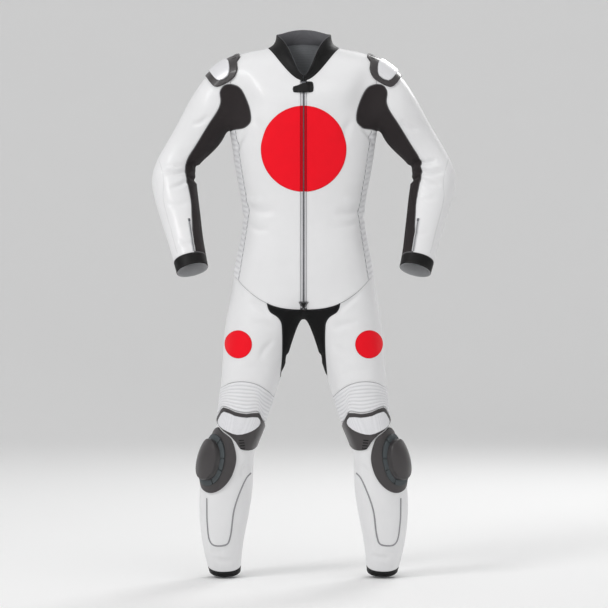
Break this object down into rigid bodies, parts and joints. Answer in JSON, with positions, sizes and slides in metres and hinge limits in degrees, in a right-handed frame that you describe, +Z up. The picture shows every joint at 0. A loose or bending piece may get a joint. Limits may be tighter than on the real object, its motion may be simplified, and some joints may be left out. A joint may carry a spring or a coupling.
{
  "type": "motorcycle race suit",
  "caption": "White one-piece leather motorcycle race suit in worn shape, with a black collar, red discs, stretch panels, and shoulder and knee armour.",
  "frame": {"origin": "middle of the neck opening at shoulder height, where the wearer's shoulders carry the suit", "axes": "+Z up the body, the chest faces -Y, +X to the wearer's left"},
  "size_m": [0.7988, 0.2511, 1.4513],
  "materials": {
    "white_leather": "smooth grain",
    "black_leather": "matt",
    "stretch_fabric": "woven stretch",
    "black_stretch": "woven stretch",
    "pleated_leather": "pleated",
    "red_leather": "smooth",
    "armour_plastic": "moulded",
    "grey_rubber": "ribbed",
    "silver_plate": "satin silver",
    "zip_tape": "woven",
    "zip_metal": "satin",
    "grey_piping": "matt"
  },
  "bodies": {
    "root": {"back": "white_leather", "calf_zip_l": "zip_tape", "calf_zip_r": "zip_tape", "chest_disc_l": "red_leather", "chest_disc_r": "red_leather", "collar": "black_leather", "crotch_panel": "black_stretch", "cuff_l": "black_leather", "cuff_r": "black_leather", "front_l": "white_leather", "front_r": "white_leather", "hem_l": "black_leather", "hem_r": "black_leather", "knee_flap_l": "armour_plastic", "knee_flap_r": "armour_plastic", "knee_ribs_l": "pleated_leather", "knee_ribs_r": "pleated_leather", "knee_shield_l": "silver_plate", "knee_shield_r": "silver_plate", "leg_back_l": "white_leather", "leg_back_r": "white_leather", "neck_tab": "black_leather", "shin_l": "white_leather", "shin_piping_l": "grey_piping", "shin_piping_r": "grey_piping", "shin_r": "white_leather", "shoulder_cup_l": "armour_plastic", "shoulder_cup_r": "armour_plastic", "shoulder_plate_l": "silver_plate", "shoulder_plate_r": "silver_plate", "side_strip_l": "pleated_leather", "side_strip_r": "pleated_leather", "sleeve_back_l": "white_leather", "sleeve_back_r": "white_leather", "sleeve_front_l": "white_leather", "sleeve_front_r": "white_leather", "sleeve_zip_l": "zip_tape", "sleeve_zip_r": "zip_tape", "slider_base_l": "armour_plastic", "slider_base_r": "armour_plastic", "slider_puck_l": "armour_plastic", "slider_puck_r": "armour_plastic", "slider_ring_l": "grey_rubber", "slider_ring_r": "grey_rubber", "stretch_l": "stretch_fabric", "stretch_r": "stretch_fabric", "thigh_disc_l": "red_leather", "thigh_disc_r": "red_leather", "thigh_l": "white_leather", "thigh_r": "white_leather", "zip_chain": "zip_metal", "zip_end": "black_leather", "zip_slider": "zip_metal", "zip_tape_l": "zip_tape", "zip_tape_r": "zip_tape"}
  },
  "joints": []
}
